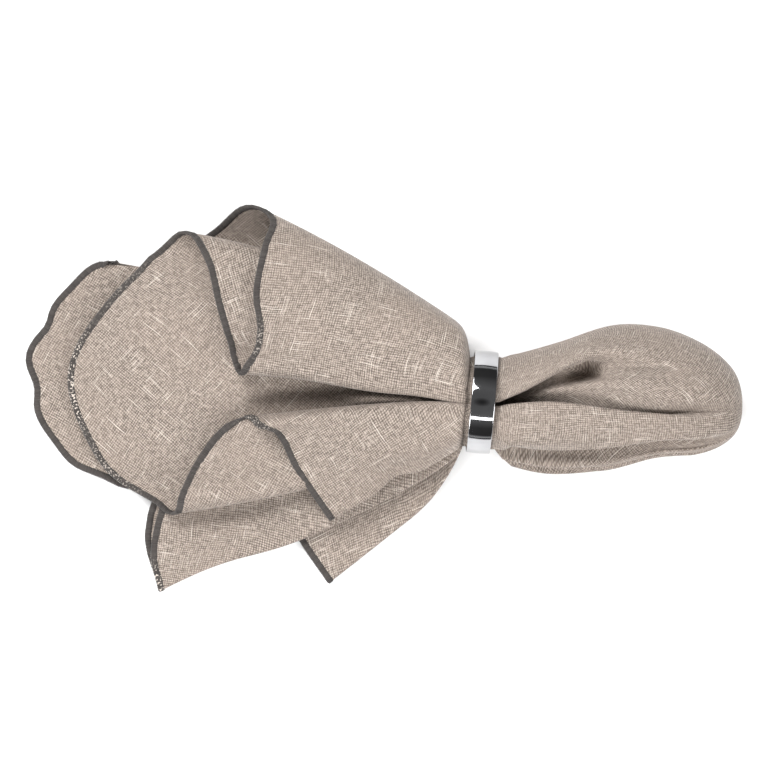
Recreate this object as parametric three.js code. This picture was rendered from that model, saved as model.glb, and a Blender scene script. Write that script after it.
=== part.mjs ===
// A square linen napkin drawn by its middle through a polished metal ring and laid on a table.
// The middle stands out of one end of the ring as a closed puff, and the four hemmed sides
// fan out of the other end in overlapping folds. Millimetres, +Z up, the ring's axis near X.
import * as THREE from "three";

// Driving dimensions
const CLOTH_THICKNESS = 1;
const RING_DIAMETER = 45;
const RING_WIDTH = 10.5;
const RING_WALL = 1.2;
const RING_CROWN = 0.25;
const RING_EDGE_RADIUS = 0.4;
const RING_YAW_DEG = -5.1;
const AXIS_HEIGHT = RING_DIAMETER / 2;

// The cloth gathered in the ring, and where the fan and the puff leave it
const GATHER_RADIUS = 20.5;
const FAN_WAIST = 0.915;
const PUFF_WAIST = 0.97;
const FAN_START = -7.2;
const PUFF_START = 7;
const PUFF_LENGTH = 106.5;
const PUFF_ROUNDNESS = 2.3;

// How the cloth turns, flares and settles
const TIGHT_FOLD_RADIUS = 0.7;
const SOFT_FOLD_RADIUS = 2;
const FOLD_SOFTNESS = 2.5;
const FOLD_WIDENING = 1.5;
const TURN_WIDTH_SHARE = 0.3;
const TURN_DEPTH_SHARE = 0.45;
const FLARE_LENGTH = 1.5;
const BOW_SHARE = 0.2;
const SETTLE_LENGTH = 28;
const DROOP_POWER = 3;

// How finely the sheet is divided
const PANEL_STEP = 20;
const PANEL_STEPS_MOST = 4;
const PUFF_SHARES = [0.92, 0.82, 0.7, 0.57, 0.44, 0.31, 0.2, 0.11, 0.05, 0.014];
const RING_PLACES = [PUFF_START, 2.4, -2.4, FAN_START];
const FAN_SHARES = [0.012, 0.035, 0.08, 0.16, 0.26, 0.37, 0.49, 0.61, 0.74, 0.87, 1];
const RING_SEGMENTS = 72;

// The lines that the cloth follows from the puff's tip through the ring to its hem, in order
// round the cloth: one along each fold, and others down the panels between the folds.
// hem_x, hem_y, hem_z: where the line ends at the hem.
// level: the height it settles to on the layers below before its end droops to the hem.
// ring_y, ring_z: where it passes through the ring, from the ring's axis.
// flare: how far it springs out beside the ring. bow: how far it swells sideways in the fan.
// bend: the fold's radius at the hem, or 0 down a panel.
// puff_deg: its place round the puff, from the far side over the top.
// opens_at, rises_at: shares of the puff at which it lies on the skin, sideways and in height.
const LINE_COLUMNS = [
  "name", "hem_x", "hem_y", "hem_z", "level", "ring_y", "ring_z",
  "flare", "bow", "bend", "puff_deg", "opens_at", "rises_at",
];
const LINES = [
  ["front_corner", -181.4, 11, 9, 16, 0, 3.2, 0, 0, 0, 80, 0.3, 0.42],
  ["front_lower_side", -165, -24, 8.5, 15.3, -6.5, 5, 0, -3, 0, 88, 0.34, 0.5],
  ["front_lower_fold", -136, -49, 12.5, 15.3, -12.5, 7.7, 0, -10, 3.6, 95, 0.7, 0.95],
  ["lower_inner_side", -125, -26, 18, 19, -7.5, 12.2, 0, -4, 0, 98, 0.66, 0.95],
  ["lower_inner_crest", -112, -10, 22.5, 23.5, -4, 15, 0, 0, 0, 100, 0.64, 0.95],
  ["lower_crest", -101, -6.6, 25.5, 27.5, -0.85, 17.4, 1, 4.5, 5, 103, 0.7, 0.95],
  ["lower_lobe_crest", -90.5, -13, 27, 29.5, -6.5, 18.4, 2, 0, 0, 110, 0.6, 0.9],
  ["lower_lobe", -82, -28.5, 22.5, 25.5, -13.5, 14.8, 4, -1, 0, 120, 0.18, 0.6],
  ["lower_lobe_fold", -66.5, -51.5, 13.6, 14.2, -20, 3.4, 2, 1, 1.2, 129, 0.04, 0.45],
  ["first_tuck", -124, 48, 12.7, 12.7, 6.5, -1, 0, 0, 1, 136, 0.75, 0.95],
  ["first_panel", -128, -8, 11.3, 11.7, -3, -2.2, 0, 0, 0, 141, 0.6, 0.95],
  ["long_fold_upper", -145.3, -66, 4.2, 9.8, -12, -2.8, 2, -6, 0, 147, 0.3, 0.9],
  ["long_fold", -142, -84.8, 1.4, 7.1, -19.8, -4.2, 5, -6, 1, 152, 0.07, 0.8],
  ["long_fold_under", -148, -58, 2.4, 7.9, -12, -5.4, 2, -6, 0, 157, 0.3, 0.9],
  ["second_panel", -132, -10, 9.6, 10.1, -2, -5, 0, 0, 0, 162, 0.6, 0.95],
  ["second_tuck", -130, 54, 9.6, 9.6, 8.5, -5.6, 0, 0, 1, 167, 0.8, 0.95],
  ["third_panel", -100, -12, 8.4, 8.5, -1, -7.2, 0, 0, 0, 173, 0.6, 0.95],
  ["lowest_upper", -80.5, -60, 3, 3.8, -10, -8.4, 2, -5, 0, 181, 0.3, 0.9],
  ["lowest_fold", -67.3, -79.5, 1.3, 1.3, -17.4, -9.8, 2, -7, 1, 190, 0.04, 0.8],
  ["lowest_under", -81.5, -60, 1.6, 2.2, -10, -11, 2, -5, 0, 199, 0.3, 0.9],
  ["back_lower_side", -160, -37, 2, 5.4, -5, -10.7, 0, -2, 0, 208, 0.5, 0.9],
  ["back_left_side", -194, -10, 3, 7.1, 0, -9.9, 0, 0, 0, 217, 0.6, 0.95],
  ["back_corner", -199, 18, 3.4, 7.1, 4.5, -9.1, 0, 0, 0, 227, 0.6, 0.95],
  ["back_upper_side", -187, 45, 4.6, 7.1, 10, -8.3, 0, 3, 0, 237, 0.6, 0.95],
  ["back_fold", -163, 61.5, 4.6, 6.3, 15.5, -8.7, 2, 8, 1, 247, 0.6, 0.95],
  ["under_tuck", -112, -4, 4.3, 4.3, -11, -14.2, 1, 0, 1, 264, 0.46, 0.85],
  ["under_far_tuck", -118, 48, 2.5, 2.5, 11.5, -13, 1, 4, 1, 282, 0.4, 0.8],
  ["under_near_fold", -122, -6, 1.3, 1.3, -8.5, -17.4, 1, 0, 1, 302, 0.28, 0.8],
  ["under_corner", -183, 8, 0.5, 0.5, 0, -20.4, 2, 0, 0, 324, 0.28, 0.7],
  ["under_upper_side", -150, 52, 0.5, 0.5, 12, -16.5, 3, 4, 0, 341, 0.3, 0.6],
  ["upper_back_edge", -117.5, 76, 2, 1.5, 18, -9.4, 9, 2, 0, 354, 0.35, 0.59],
  ["upper_fold", -103.5, 86.3, 10, 10, 20.3, 2, 12, 0, 0, 366, 0.3, 0.5],
  ["upper_roll", -92.3, 79.6, 20.5, 20.5, 19.4, 6, 12, 0, 0, 373, 0.28, 0.47],
  ["upper_lobe_high", -95.2, 69, 27.5, 28, 18, 9.6, 12, 1, 0, 382, 0.25, 0.42],
  ["upper_lobe", -99.3, 47, 30.5, 32, 12, 16.6, 8, 4, 0, 394, 0.24, 0.38],
  ["upper_lobe_low", -97.7, 29, 29.5, 31.5, 6.5, 18.6, 4, 4, 0, 404, 0.24, 0.36],
  ["upper_crest", -106, 12.4, 26, 28, 2.15, 17.4, 1, 3, 3.6, 412, 0.25, 0.36],
  ["upper_inner_side", -115.5, 42, 22.5, 23, 7.5, 12.2, 0, 10, 0, 419, 0.26, 0.5],
  ["front_upper_fold", -130, 74.3, 18, 18.6, 12.5, 7.7, 0, 21, 4.5, 425, 0.3, 0.55],
  ["front_upper_side", -163, 45.5, 13, 17.4, 6.5, 5, 0, 8, 0, 432, 0.28, 0.46],
].map((row) => Object.fromEntries(row.map((value, i) => [LINE_COLUMNS[i], value])));

// The puff's outline from the ring to its tip: its two sides and the middle line between them,
// its underside and its top
const PUFF_COLUMNS = ["share", "far_side", "middle", "near_side", "underside", "top"];
const PUFF_OUTLINE = [
  [0, 20, -0.5, -21, 2.4, 42.6],
  [0.01, 20.2, 0, -24.2, 2.2, 42.8],
  [0.045, 21.2, 1, -28.2, 1.4, 43.6],
  [0.15, 26, 2.5, -31, 0, 45.5],
  [0.3, 33.2, 1, -28, -2.6, 47],
  [0.45, 32.6, -0.5, -24.2, -3.6, 46.5],
  [0.6, 26.8, -1, -22.6, -2, 43],
  [0.75, 18.6, -1.2, -18.2, 1.5, 37],
  [0.88, 10, -1.5, -11.5, 8, 30],
  [1, -1.5, -1.5, -1.5, 19.5, 19.5],
].map((row) => Object.fromEntries(row.map((value, i) => [PUFF_COLUMNS[i], value])));

const { lerp, clamp, smoothstep, degToRad } = THREE.MathUtils;
const vec = (x, y, z) => new THREE.Vector3(x, y, z);
const between = (from, to) => to.clone().sub(from);
const direction = (from, to) => between(from, to).normalize();

// The ring stands a little askew, so the gathered cloth drifts sideways along it, and the lines
// on its far side leave it further towards the puff than those on its near side
const ASKEW = Math.tan(degToRad(RING_YAW_DEG));
const drift = (x) => x * ASKEW;
const lean = (line) => -line.ring_y * ASKEW;

// A smooth step from a to b at share f, leaving and arriving with the given slopes
function hermite(a, b, leave, arrive, f) {
  const back = 1 - f;
  const place = a * (1 + 2 * f) * back ** 2 + b * f ** 2 * (3 - 2 * f);
  const slopes = leave * f * back ** 2 - arrive * f ** 2 * back;
  return place + slopes;
}

// A line's point at share t of the way from the ring to the hem
function fanPoint(line, t) {
  const startX = FAN_START + lean(line);
  const length = startX - line.hem_x;
  const reach = Math.hypot(line.ring_y, line.ring_z);
  const startY = line.ring_y * FAN_WAIST + drift(FAN_START);
  const startZ = line.ring_z * FAN_WAIST + AXIS_HEIGHT;
  const fade = 1 - t * t;
  const flare = (line.flare / reach) * (1 - Math.exp((-length * t) / FLARE_LENGTH)) * fade;
  const bow = line.bow * (1 - Math.exp(-t / BOW_SHARE)) * fade;
  const settled = (share) => lerp(startZ, line.level, 1 - Math.exp((-length * share) / SETTLE_LENGTH));
  const droop = (line.hem_z - settled(1)) * t ** DROOP_POWER;
  return vec(
    lerp(startX, line.hem_x, t),
    lerp(startY, line.hem_y, t) + bow + flare * line.ring_y,
    settled(t) + droop + flare * line.ring_z,
  );
}

// A line's point inside the ring: fullest in the middle, drawn in towards the two edges
function ringPoint(line, x) {
  const [edge, edgeWaist] = x > 0 ? [PUFF_START, PUFF_WAIST] : [FAN_START, FAN_WAIST];
  const waist = lerp(1, edgeWaist, (x / edge) ** 2);
  return vec(x + lean(line), line.ring_y * waist + drift(x), line.ring_z * waist + AXIS_HEIGHT);
}

// The puff's outline at a share of its length, smoothly through the rows of its table
function puffOutline(share) {
  const last = PUFF_OUTLINE.length - 1;
  const next = clamp(PUFF_OUTLINE.findIndex((row) => row.share >= share), 1, last);
  const at = (i) => PUFF_OUTLINE[clamp(i, 0, last)];
  const [before, from, to, after] = [at(next - 2), at(next - 1), at(next), at(next + 1)];
  const span = to.share - from.share;
  const slope = (a, b, key) => (span * (b[key] - a[key])) / (b.share - a.share);
  const f = (share - from.share) / span;
  const value = (key) => hermite(from[key], to[key], slope(before, to, key), slope(from, after, key), f);
  return Object.fromEntries(PUFF_COLUMNS.slice(1).map((key) => [key, value(key)]));
}

// A line's point at a share of the way from the ring to the puff's tip: from its place in the
// gathered bundle it moves out sideways, and then in height, to the puff's round skin
function puffPoint(line, share) {
  const o = puffOutline(share);
  const angle = degToRad(line.puff_deg);
  const rounded = (v) => Math.sign(v) * Math.abs(v) ** (2 / PUFF_ROUNDNESS);
  const open = smoothstep(share, 0, line.opens_at);
  const risen = smoothstep(share, 0, line.rises_at);
  const sideways = lerp(line.ring_y / GATHER_RADIUS, rounded(Math.cos(angle)), open);
  const upwards = lerp(line.ring_z / GATHER_RADIUS, rounded(Math.sin(angle)), risen);
  const halfWidth = sideways > 0 ? o.far_side - o.middle : o.middle - o.near_side;
  return vec(
    lerp(PUFF_START + lean(line), PUFF_START + PUFF_LENGTH, Math.sin((share * Math.PI) / 2)),
    o.middle + sideways * halfWidth,
    lerp(o.underside, o.top, (1 + upwards) / 2),
  );
}

// The cross sections of the sheet from the puff's tip to the hem. A fold is tight up to the
// fan, and there it widens to its own radius and, if that is large, turns more softly.
const SECTIONS = [
  ...PUFF_SHARES.map((at) => ({ at, pointOf: puffPoint, widened: 0 })),
  ...RING_PLACES.map((at) => ({ at, pointOf: ringPoint, widened: 0 })),
  ...FAN_SHARES.map((at) => ({ at, pointOf: fanPoint, widened: at ** FOLD_WIDENING })),
];

// Where the cloth enters a fold's turn, its outermost point, and where it leaves the turn
function turnPoints(here, before, after, along, radius, softness) {
  const flatten = (v) => v.clone().addScaledVector(along, -v.dot(along)).normalize();
  const [toBefore, toAfter] = [direction(here, before), direction(here, after)];
  const [flatBefore, flatAfter] = [flatten(toBefore), flatten(toAfter)];
  const inwards = flatBefore.clone().add(flatAfter).multiplyScalar(0.5);
  const apart = flatBefore.clone().sub(flatAfter);
  const sharpness = inwards.length();
  const aside = sharpness > 1e-3 ? along.clone().cross(inwards).normalize() : apart.clone().normalize();
  if (aside.dot(apart) < 0) aside.negate();
  const room = Math.min(here.distanceTo(before), here.distanceTo(after));
  const r = Math.min(radius, TURN_WIDTH_SHARE * room);
  const depth = Math.min(r * softness, TURN_DEPTH_SHARE * room) * sharpness;
  const enter = here.clone().addScaledVector(toBefore, depth).addScaledVector(aside, r);
  const leave = here.clone().addScaledVector(toAfter, depth).addScaledVector(aside, -r);
  return [
    { point: enter, role: "enter" },
    { point: here, role: "turn" },
    { point: leave, role: "leave" },
  ];
}

// The points that one cross section passes through, with a round turn at each fold
function sectionPoints({ at, pointOf, widened }) {
  const places = LINES.map((line) => pointOf(line, at));
  const wrap = (k) => (k + places.length) % places.length;
  return LINES.flatMap((line, k) => {
    if (line.bend === 0) return [{ point: places[k], role: "panel" }];
    const along = direction(pointOf(line, at - 1e-4), places[k]);
    const radius = lerp(TIGHT_FOLD_RADIUS, Math.max(line.bend, TIGHT_FOLD_RADIUS), widened);
    const softness = line.bend >= SOFT_FOLD_RADIUS ? lerp(1, FOLD_SOFTNESS, widened) : 1;
    return turnPoints(places[k], places[wrap(k - 1)], places[wrap(k + 1)], along, radius, softness);
  });
}

const inTurn = (knot) => knot.role === "enter" || knot.role === "turn";

// How many steps each stretch between two points gets, from its length at the hem
function stretchSteps(knots) {
  return knots.map((knot, i) => {
    if (inTurn(knot)) return 1;
    const gap = knot.point.distanceTo(knots[(i + 1) % knots.length].point);
    return clamp(Math.round(gap / PANEL_STEP), 1, PANEL_STEPS_MOST);
  });
}

// One closed loop of the sheet: straight into and out of each turn, and smooth across the panels
function loop(knots, steps) {
  const point = (i) => knots[(i + knots.length) % knots.length].point;
  const heading = (i) => {
    const [back, ahead] = [direction(point(i - 1), point(i)), direction(point(i), point(i + 1))];
    const role = knots[i % knots.length].role;
    if (role === "enter") return back;
    if (role === "leave") return ahead;
    return role === "turn" ? direction(point(i - 1), point(i + 1)) : back.add(ahead).normalize();
  };
  return knots.flatMap((_, i) => {
    const [a, b] = [point(i), point(i + 1)];
    const length = a.distanceTo(b);
    const [leave, arrive] = [heading(i), heading(i + 1)].map((v) => v.multiplyScalar(length));
    return Array.from({ length: steps[i] }, (_, j) => {
      const value = (axis) => hermite(a[axis], b[axis], leave[axis], arrive[axis], j / steps[i]);
      return vec(value("x"), value("y"), Math.max(value("z"), CLOTH_THICKNESS / 2));
    });
  });
}

// The direction the cloth faces at each point of its loops
function facings(loops, tip) {
  const bend = (a, b, c) => direction(a, b).add(c ? direction(b, c) : vec(0, 0, 0));
  return loops.map((ring, r) =>
    ring.map((p, i) => {
      const along = bend(r ? loops[r - 1][i] : tip, p, loops[r + 1]?.[i]);
      const across = bend(ring.at(i - 1), p, ring[(i + 1) % ring.length]);
      return along.cross(across).normalize();
    }),
  );
}

// The closed solid of a sheet given by its loops: a face on each side, joined round the hem
function thicken(loops, tip) {
  const facing = facings(loops, tip);
  const around = loops[0].length;
  const perSide = 1 + loops.length * around;
  const half = CLOTH_THICKNESS / 2;
  const position = [];
  const push = (p) => position.push(p.x, p.y, Math.max(p.z, 0));
  for (const side of [half, -half]) {
    push(vec(tip.x + side, tip.y, tip.z));
    loops.forEach((ring, r) => ring.forEach((p, i) => push(p.clone().addScaledVector(facing[r][i], side))));
  }
  const outer = (r, i) => 1 + r * around + (i % around);
  const inner = (r, i) => perSide + outer(r, i);
  const last = loops.length - 1;
  const index = [];
  for (let i = 0; i < around; i++) {
    index.push(0, outer(0, i), outer(0, i + 1));
    index.push(perSide, inner(0, i + 1), inner(0, i));
    for (let r = 0; r < last; r++) {
      index.push(outer(r, i), outer(r + 1, i + 1), outer(r, i + 1));
      index.push(outer(r, i), outer(r + 1, i), outer(r + 1, i + 1));
      index.push(inner(r, i), inner(r, i + 1), inner(r + 1, i + 1));
      index.push(inner(r, i), inner(r + 1, i + 1), inner(r + 1, i));
    }
    index.push(outer(last, i), inner(last, i + 1), outer(last, i + 1));
    index.push(outer(last, i), inner(last, i), inner(last, i + 1));
  }
  return new THREE.BufferGeometry()
    .setAttribute("position", new THREE.Float32BufferAttribute(position, 3))
    .setIndex(index);
}

function napkin() {
  const end = PUFF_OUTLINE.at(-1);
  const tip = vec(PUFF_START + PUFF_LENGTH, end.far_side, end.top);
  const sections = SECTIONS.map(sectionPoints);
  const steps = stretchSteps(sections.at(-1));
  const geometry = thicken(sections.map((knots) => loop(knots, steps)), tip);
  geometry.computeVertexNormals();
  const linen = new THREE.MeshStandardMaterial({ color: 0xbcae9f, roughness: 0.9, metalness: 0 });
  const mesh = new THREE.Mesh(geometry, linen);
  mesh.name = "napkin";
  return mesh;
}

// A band with rounded edges and a slightly crowned outer face, turned about its axis
function ring() {
  const outer = RING_DIAMETER / 2;
  const inner = outer - RING_WALL;
  const rim = outer - RING_CROWN;
  const half = RING_WIDTH / 2;
  const edge = RING_EDGE_RADIUS;
  const shape = new THREE.Shape();
  shape.moveTo(inner, -half + edge);
  shape.quadraticCurveTo(inner, -half, inner + edge, -half);
  shape.lineTo(rim - edge, -half);
  shape.quadraticCurveTo(rim, -half, rim, -half + edge);
  shape.quadraticCurveTo(outer + RING_CROWN, 0, rim, half - edge);
  shape.quadraticCurveTo(rim, half, rim - edge, half);
  shape.lineTo(inner + edge, half);
  shape.quadraticCurveTo(inner, half, inner, half - edge);
  const profile = shape.getPoints(4);
  profile.push(profile[0].clone());
  const chrome = new THREE.MeshStandardMaterial({ color: 0xc4c4c8, roughness: 0.08, metalness: 1 });
  const mesh = new THREE.Mesh(new THREE.LatheGeometry(profile, RING_SEGMENTS), chrome);
  mesh.name = "ring";
  mesh.rotation.set(0, 0, -Math.PI / 2 + degToRad(RING_YAW_DEG));
  mesh.position.z = AXIS_HEIGHT;
  return mesh;
}

const group = new THREE.Group();
group.add(napkin(), ring());

// The origin lies on the table under the middle of the whole part
const box = new THREE.Box3().setFromObject(group, true);
const middle = box.getCenter(vec(0, 0, 0));
group.children.forEach((mesh) => mesh.position.sub(vec(middle.x, middle.y, box.min.z)));

export default group;
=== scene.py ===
"""A square linen napkin, drawn by its middle through a polished metal ring and laid on a table.

Sizes are millimetres in the ring's own frame: x runs along the ring's axis from the fan of hems
to the puff, y runs to the far side and z rises from the table. to_frame() turns a point into the
shared frame, in metres.
"""
import math

import bpy
import numpy as np
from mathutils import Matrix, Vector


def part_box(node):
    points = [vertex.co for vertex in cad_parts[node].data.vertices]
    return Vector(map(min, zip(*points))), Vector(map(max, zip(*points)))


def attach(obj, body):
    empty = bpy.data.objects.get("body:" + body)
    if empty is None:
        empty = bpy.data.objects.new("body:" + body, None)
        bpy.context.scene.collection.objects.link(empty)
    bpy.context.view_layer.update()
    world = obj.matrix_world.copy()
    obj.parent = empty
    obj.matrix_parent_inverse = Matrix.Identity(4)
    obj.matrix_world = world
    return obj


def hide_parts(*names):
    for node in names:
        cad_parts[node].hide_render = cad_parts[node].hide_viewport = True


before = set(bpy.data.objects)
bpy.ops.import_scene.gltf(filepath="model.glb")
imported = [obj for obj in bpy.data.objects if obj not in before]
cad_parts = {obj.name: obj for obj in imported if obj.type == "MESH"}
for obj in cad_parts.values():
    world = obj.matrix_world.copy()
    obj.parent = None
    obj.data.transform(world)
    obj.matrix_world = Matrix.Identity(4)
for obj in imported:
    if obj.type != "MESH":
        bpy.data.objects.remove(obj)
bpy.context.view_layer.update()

MM = 0.001

# The ring
RING = {
    "outer_radius": 22.5,
    "inner_radius": 21.3,
    "width": 10.5,
    "crown": 0.25,
    "edge_radius": 0.4,
    "yaw_deg": -5.1,
    "around": 192,
    "across": 22,
    "edge_steps": 6,
}
AXIS_HEIGHT = 22.5

# The cloth as cut
CLOTH_THICKNESS = 0.6

# How the cloth leaves the ring
GATHER_RADIUS = 20.5
FAN_WAIST = 0.915
PUFF_WAIST = 0.97
FAN_START = -7.2
PUFF_START = 7.0
PUFF_LENGTH = 106.5
PUFF_ROUNDNESS = 2.3
TIGHT_FOLD_RADIUS = 0.7
SOFT_FOLD_RADIUS = 2.0
FOLD_SOFTNESS = 2.5
SOFT_WIDENING = 0.6
FOLD_WIDENING = 1.5
TIGHT_FULLNESS = 1.15
SOFT_FULLNESS = 1.3
TURN_WIDTH_SHARE = 0.3
TURN_DEPTH_SHARE = 0.45
TURN_ROWS = 0.1
FLARE_LENGTH = 1.5
BOW_SHARE = 0.2
SETTLE_LENGTH = 28.0
DROOP_POWER = 3

# How finely the sheet is divided
FAN_STEPS = 70
FAN_GRADING = 1.35
RING_STEPS = 6
PUFF_STEPS = 42
FOLD_STEPS = 3
HIDDEN_STEP = 9.0
SHOWN_STEP = 3.3

# Limits and shift of the panels in the map of the weave
LEAST_PANEL_WIDTH = 2.0
LEAST_PANEL_SPREAD = 0.05
PANEL_SHIFT = 97 + 41j

# One row for each line that runs from the puff's tip through the ring to the hem:
# where it meets the hem, the level it lies at, its place in the ring, how it flares and bows as it
# leaves the ring, the radius of its fold at the hem (0 on a panel), its angle round the puff, the
# shares of the puff by which it has opened sideways and risen, and the cloth's step after it.
LINE_COLUMNS = ("name hem_x hem_y hem_z level ring_y ring_z flare bow bend "
                "puff_deg opens_at rises_at step").split()
LINES = [
    ("front_corner", -181.4, 11, 9, 16, 0, 3.2, 0, 0, 0, 80, 0.3, 0.42, SHOWN_STEP),
    ("front_lower_side", -165, -24, 8.5, 15.3, -6.5, 5, 0, -3, 0, 88, 0.34, 0.5, SHOWN_STEP),
    ("front_lower_fold", -136, -49, 12.5, 15.3, -12.5, 7.7, 0, -10, 4.8, 95, 0.7, 0.95, SHOWN_STEP),
    ("lower_inner_side", -125, -26, 18, 19, -7.5, 12.2, 0, -4, 0, 98, 0.66, 0.95, SHOWN_STEP),
    ("lower_inner_crest", -112, -10, 22.5, 23.5, -4, 15, 0, 0, 0, 100, 0.64, 0.95, SHOWN_STEP),
    ("lower_crest", -101, -6.6, 25.5, 27.5, -0.85, 17.4, 1, 4.5, 5, 103, 0.7, 0.95, SHOWN_STEP),
    ("lower_lobe_crest", -90.5, -13, 27, 29.5, -6.5, 18.4, 2, 0, 0, 110, 0.6, 0.9, SHOWN_STEP),
    ("lower_lobe", -82, -28.5, 22.5, 25.5, -13.5, 14.8, 4, -1, 0, 120, 0.18, 0.6, SHOWN_STEP),
    ("lower_lobe_fold", -66.5, -51.5, 13.6, 14.2, -20, 3.4, 2, 1, 1.2, 129, 0.04, 0.45, HIDDEN_STEP),
    ("first_tuck", -124, 48, 12.7, 12.7, 6.5, -1, 0, 0, 1, 136, 0.75, 0.95, HIDDEN_STEP),
    ("first_panel", -128, -8, 11.3, 11.7, -3, -2.2, 0, 0, 0, 141, 0.6, 0.95, SHOWN_STEP),
    ("long_fold_upper", -145.3, -66, 4.2, 9.8, -12, -2.8, 2, -6, 0, 147, 0.3, 0.9, SHOWN_STEP),
    ("long_fold", -142, -84.8, 1.4, 7.1, -19.8, -4.2, 5, -6, 1, 152, 0.07, 0.8, SHOWN_STEP),
    ("long_fold_under", -148, -58, 2.4, 7.9, -12, -5.4, 2, -6, 0, 157, 0.3, 0.9, HIDDEN_STEP),
    ("second_panel", -132, -10, 9.6, 10.1, -2, -5, 0, 0, 0, 162, 0.6, 0.95, HIDDEN_STEP),
    ("second_tuck", -130, 54, 9.6, 9.6, 8.5, -5.6, 0, 0, 1, 167, 0.8, 0.95, HIDDEN_STEP),
    ("third_panel", -100, -12, 8.4, 8.5, -1, -7.2, 0, 0, 0, 173, 0.6, 0.95, SHOWN_STEP),
    ("lowest_upper", -80.5, -60, 3, 3.8, -10, -8.4, 2, -5, 0, 181, 0.3, 0.9, SHOWN_STEP),
    ("lowest_fold", -67.3, -79.5, 1.3, 1.3, -17.4, -9.8, 2, -7, 1, 190, 0.04, 0.8, SHOWN_STEP),
    ("lowest_under", -81.5, -60, 1.6, 2.2, -10, -11, 2, -5, 0, 199, 0.3, 0.9, HIDDEN_STEP),
    ("back_lower_side", -160, -37, 2, 5.4, -5, -10.7, 0, -2, 0, 208, 0.5, 0.9, SHOWN_STEP),
    ("back_left_side", -194, -10, 3, 7.1, 0, -9.9, 0, 0, 0, 217, 0.6, 0.95, SHOWN_STEP),
    ("back_corner", -199, 18, 3.4, 7.1, 4.5, -9.1, 0, 0, 0, 227, 0.6, 0.95, SHOWN_STEP),
    ("back_upper_side", -187, 45, 4.6, 7.1, 10, -8.3, 0, 3, 0, 237, 0.6, 0.95, SHOWN_STEP),
    ("back_fold", -163, 61.5, 4.6, 6.3, 15.5, -8.7, 2, 8, 1, 247, 0.6, 0.95, HIDDEN_STEP),
    ("under_tuck", -112, -4, 4.3, 4.3, -11, -14.2, 1, 0, 1, 264, 0.46, 0.85, HIDDEN_STEP),
    ("under_far_tuck", -118, 48, 2.5, 2.5, 11.5, -13, 1, 4, 1, 282, 0.4, 0.8, HIDDEN_STEP),
    ("under_near_fold", -122, -6, 1.3, 1.3, -8.5, -17.4, 1, 0, 1, 302, 0.28, 0.8, HIDDEN_STEP),
    ("under_corner", -183, 8, 0.5, 0.5, 0, -20.4, 2, 0, 0, 324, 0.28, 0.7, HIDDEN_STEP),
    ("under_upper_side", -150, 52, 0.5, 0.5, 12, -16.5, 3, 4, 0, 341, 0.3, 0.6, HIDDEN_STEP),
    ("upper_back_edge", -117.5, 76, 2, 1.5, 18, -9.4, 9, 2, 0, 354, 0.35, 0.59, SHOWN_STEP),
    ("upper_fold", -103.5, 86.3, 10, 10, 20.3, 2, 12, 0, 0, 366, 0.3, 0.5, SHOWN_STEP),
    ("upper_roll", -92.3, 79.6, 20.5, 20.5, 19.4, 6, 12, 0, 0, 373, 0.28, 0.47, SHOWN_STEP),
    ("upper_lobe_high", -95.2, 69, 27.5, 28, 18, 9.6, 12, 1, 0, 382, 0.25, 0.42, SHOWN_STEP),
    ("upper_lobe", -99.3, 47, 30.5, 32, 12, 16.6, 8, 4, 0, 394, 0.24, 0.38, SHOWN_STEP),
    ("upper_lobe_low", -97.7, 29, 29.5, 31.5, 6.5, 18.6, 4, 4, 0, 404, 0.24, 0.36, SHOWN_STEP),
    ("upper_crest", -106, 12.4, 26, 28, 2.15, 17.4, 1, 3, 6.2, 412, 0.25, 0.36, SHOWN_STEP),
    ("upper_inner_side", -112.4, 31, 23.4, 24, 7.5, 12.2, 0, 9, 0, 419, 0.26, 0.5, SHOWN_STEP),
    ("front_upper_fold", -130, 74.3, 18, 18.6, 12.5, 7.7, 0, 21, 6.5, 425, 0.3, 0.55, SHOWN_STEP),
    ("front_upper_side", -163, 45.5, 13, 17.4, 6.5, 5, 0, 8, 0, 432, 0.28, 0.46, SHOWN_STEP),
]
LINE_NAMES = [row[0] for row in LINES]
LINE = {name: np.array([row[k] for row in LINES], dtype=float)
        for k, name in enumerate(LINE_COLUMNS) if name != "name"}
RING_PLACE = np.stack([LINE["ring_y"], LINE["ring_z"]], axis=1)
# The ring stands a little askew, so the lines of its far side leave it further towards the puff
ASKEW = math.tan(math.radians(RING["yaw_deg"]))
LEAN = -LINE["ring_y"] * ASKEW

# The puff's outline from the ring, share 0, to its tip, share 1: the share, its far side, middle line,
# near side, underside and top
PUFF_OUTLINE = np.array([
    (0.00, 20.0, -0.5, -21.0, 2.4, 42.6),
    (0.01, 20.2, 0.0, -24.2, 2.2, 42.8),
    (0.045, 21.2, 1.0, -28.2, 1.4, 43.6),
    (0.15, 26.0, 2.5, -31.8, 0.0, 45.5),
    (0.30, 33.2, 1.0, -29.6, -2.6, 47.0),
    (0.45, 32.6, -0.5, -24.2, -3.6, 46.5),
    (0.60, 26.8, -1.0, -22.6, -2.0, 43.0),
    (0.75, 18.6, -1.2, -18.2, 1.5, 37.0),
    (0.88, 10.0, -1.5, -11.5, 8.0, 30.0),
    (1.00, -1.5, -1.5, -1.5, 19.5, 19.5),
])

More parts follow.
